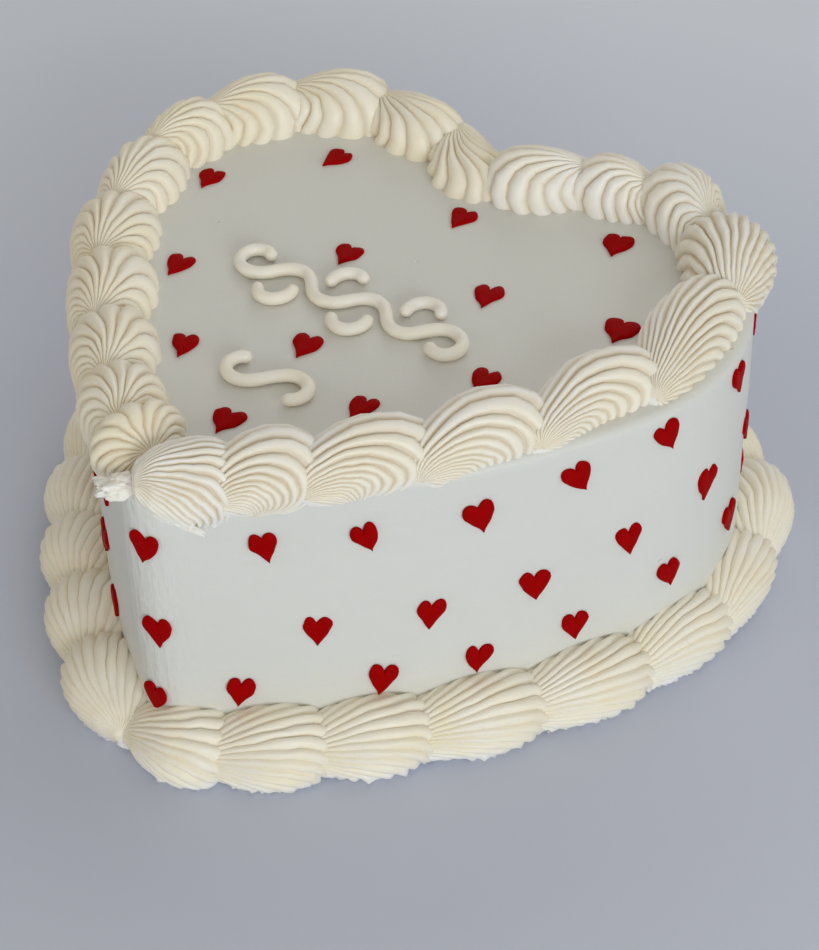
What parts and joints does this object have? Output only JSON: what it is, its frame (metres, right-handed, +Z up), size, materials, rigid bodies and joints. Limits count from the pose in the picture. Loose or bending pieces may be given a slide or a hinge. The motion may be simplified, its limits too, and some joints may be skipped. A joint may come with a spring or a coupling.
{
  "type": "heart shaped cake",
  "caption": "Heart shaped layer cake in smooth buttercream with piped shell borders round the top and foot, small red hearts and a piped scroll.",
  "frame": {"origin": "centre of the whole cake's box, on the surface that the cake stands on", "axes": "+Z up, -Y towards the tip of the heart, +Y towards the notch, +X to the right seen from the tip"},
  "size_m": [0.2722, 0.2658, 0.1295],
  "materials": {
    "smooth_buttercream": "smoothed off-white buttercream, soft sheen",
    "piped_buttercream": "piped ivory buttercream, soft sheen",
    "red_hearts": "deep red icing, soft sheen"
  },
  "bodies": {
    "root": {"cake_body": "smooth_buttercream", "foot_shell_left_01": "piped_buttercream", "foot_shell_left_02": "piped_buttercream", "foot_shell_left_03": "piped_buttercream", "foot_shell_left_04": "piped_buttercream", "foot_shell_left_05": "piped_buttercream", "foot_shell_left_06": "piped_buttercream", "foot_shell_left_07": "piped_buttercream", "foot_shell_left_08": "piped_buttercream", "foot_shell_left_09": "piped_buttercream", "foot_shell_left_10": "piped_buttercream", "foot_shell_left_11": "piped_buttercream", "foot_shell_right_01": "piped_buttercream", "foot_shell_right_02": "piped_buttercream", "foot_shell_right_03": "piped_buttercream", "foot_shell_right_04": "piped_buttercream", "foot_shell_right_05": "piped_buttercream", "foot_shell_right_06": "piped_buttercream", "foot_shell_right_07": "piped_buttercream", "foot_shell_right_08": "piped_buttercream", "foot_shell_right_09": "piped_buttercream", "foot_shell_right_10": "piped_buttercream", "foot_shell_right_11": "piped_buttercream", "scroll_curl_1": "piped_buttercream", "scroll_curl_2": "piped_buttercream", "scroll_curl_3": "piped_buttercream", "scroll_curl_4": "piped_buttercream", "scroll_long": "piped_buttercream", "scroll_short": "piped_buttercream", "top_shell_left_01": "piped_buttercream", "top_shell_left_02": "piped_buttercream", "top_shell_left_03": "piped_buttercream", "top_shell_left_04": "piped_buttercream", "top_shell_left_05": "piped_buttercream", "top_shell_left_06": "piped_buttercream", "top_shell_left_07": "piped_buttercream", "top_shell_left_08": "piped_buttercream", "top_shell_left_09": "piped_buttercream", "top_shell_left_10": "piped_buttercream", "top_shell_left_11": "piped_buttercream", "top_shell_right_01": "piped_buttercream", "top_shell_right_02": "piped_buttercream", "top_shell_right_03": "piped_buttercream", "top_shell_right_04": "piped_buttercream", "top_shell_right_05": "piped_buttercream", "top_shell_right_06": "piped_buttercream", "top_shell_right_07": "piped_buttercream", "top_shell_right_08": "piped_buttercream", "top_shell_right_09": "piped_buttercream", "top_shell_right_10": "piped_buttercream"}
  },
  "joints": []
}
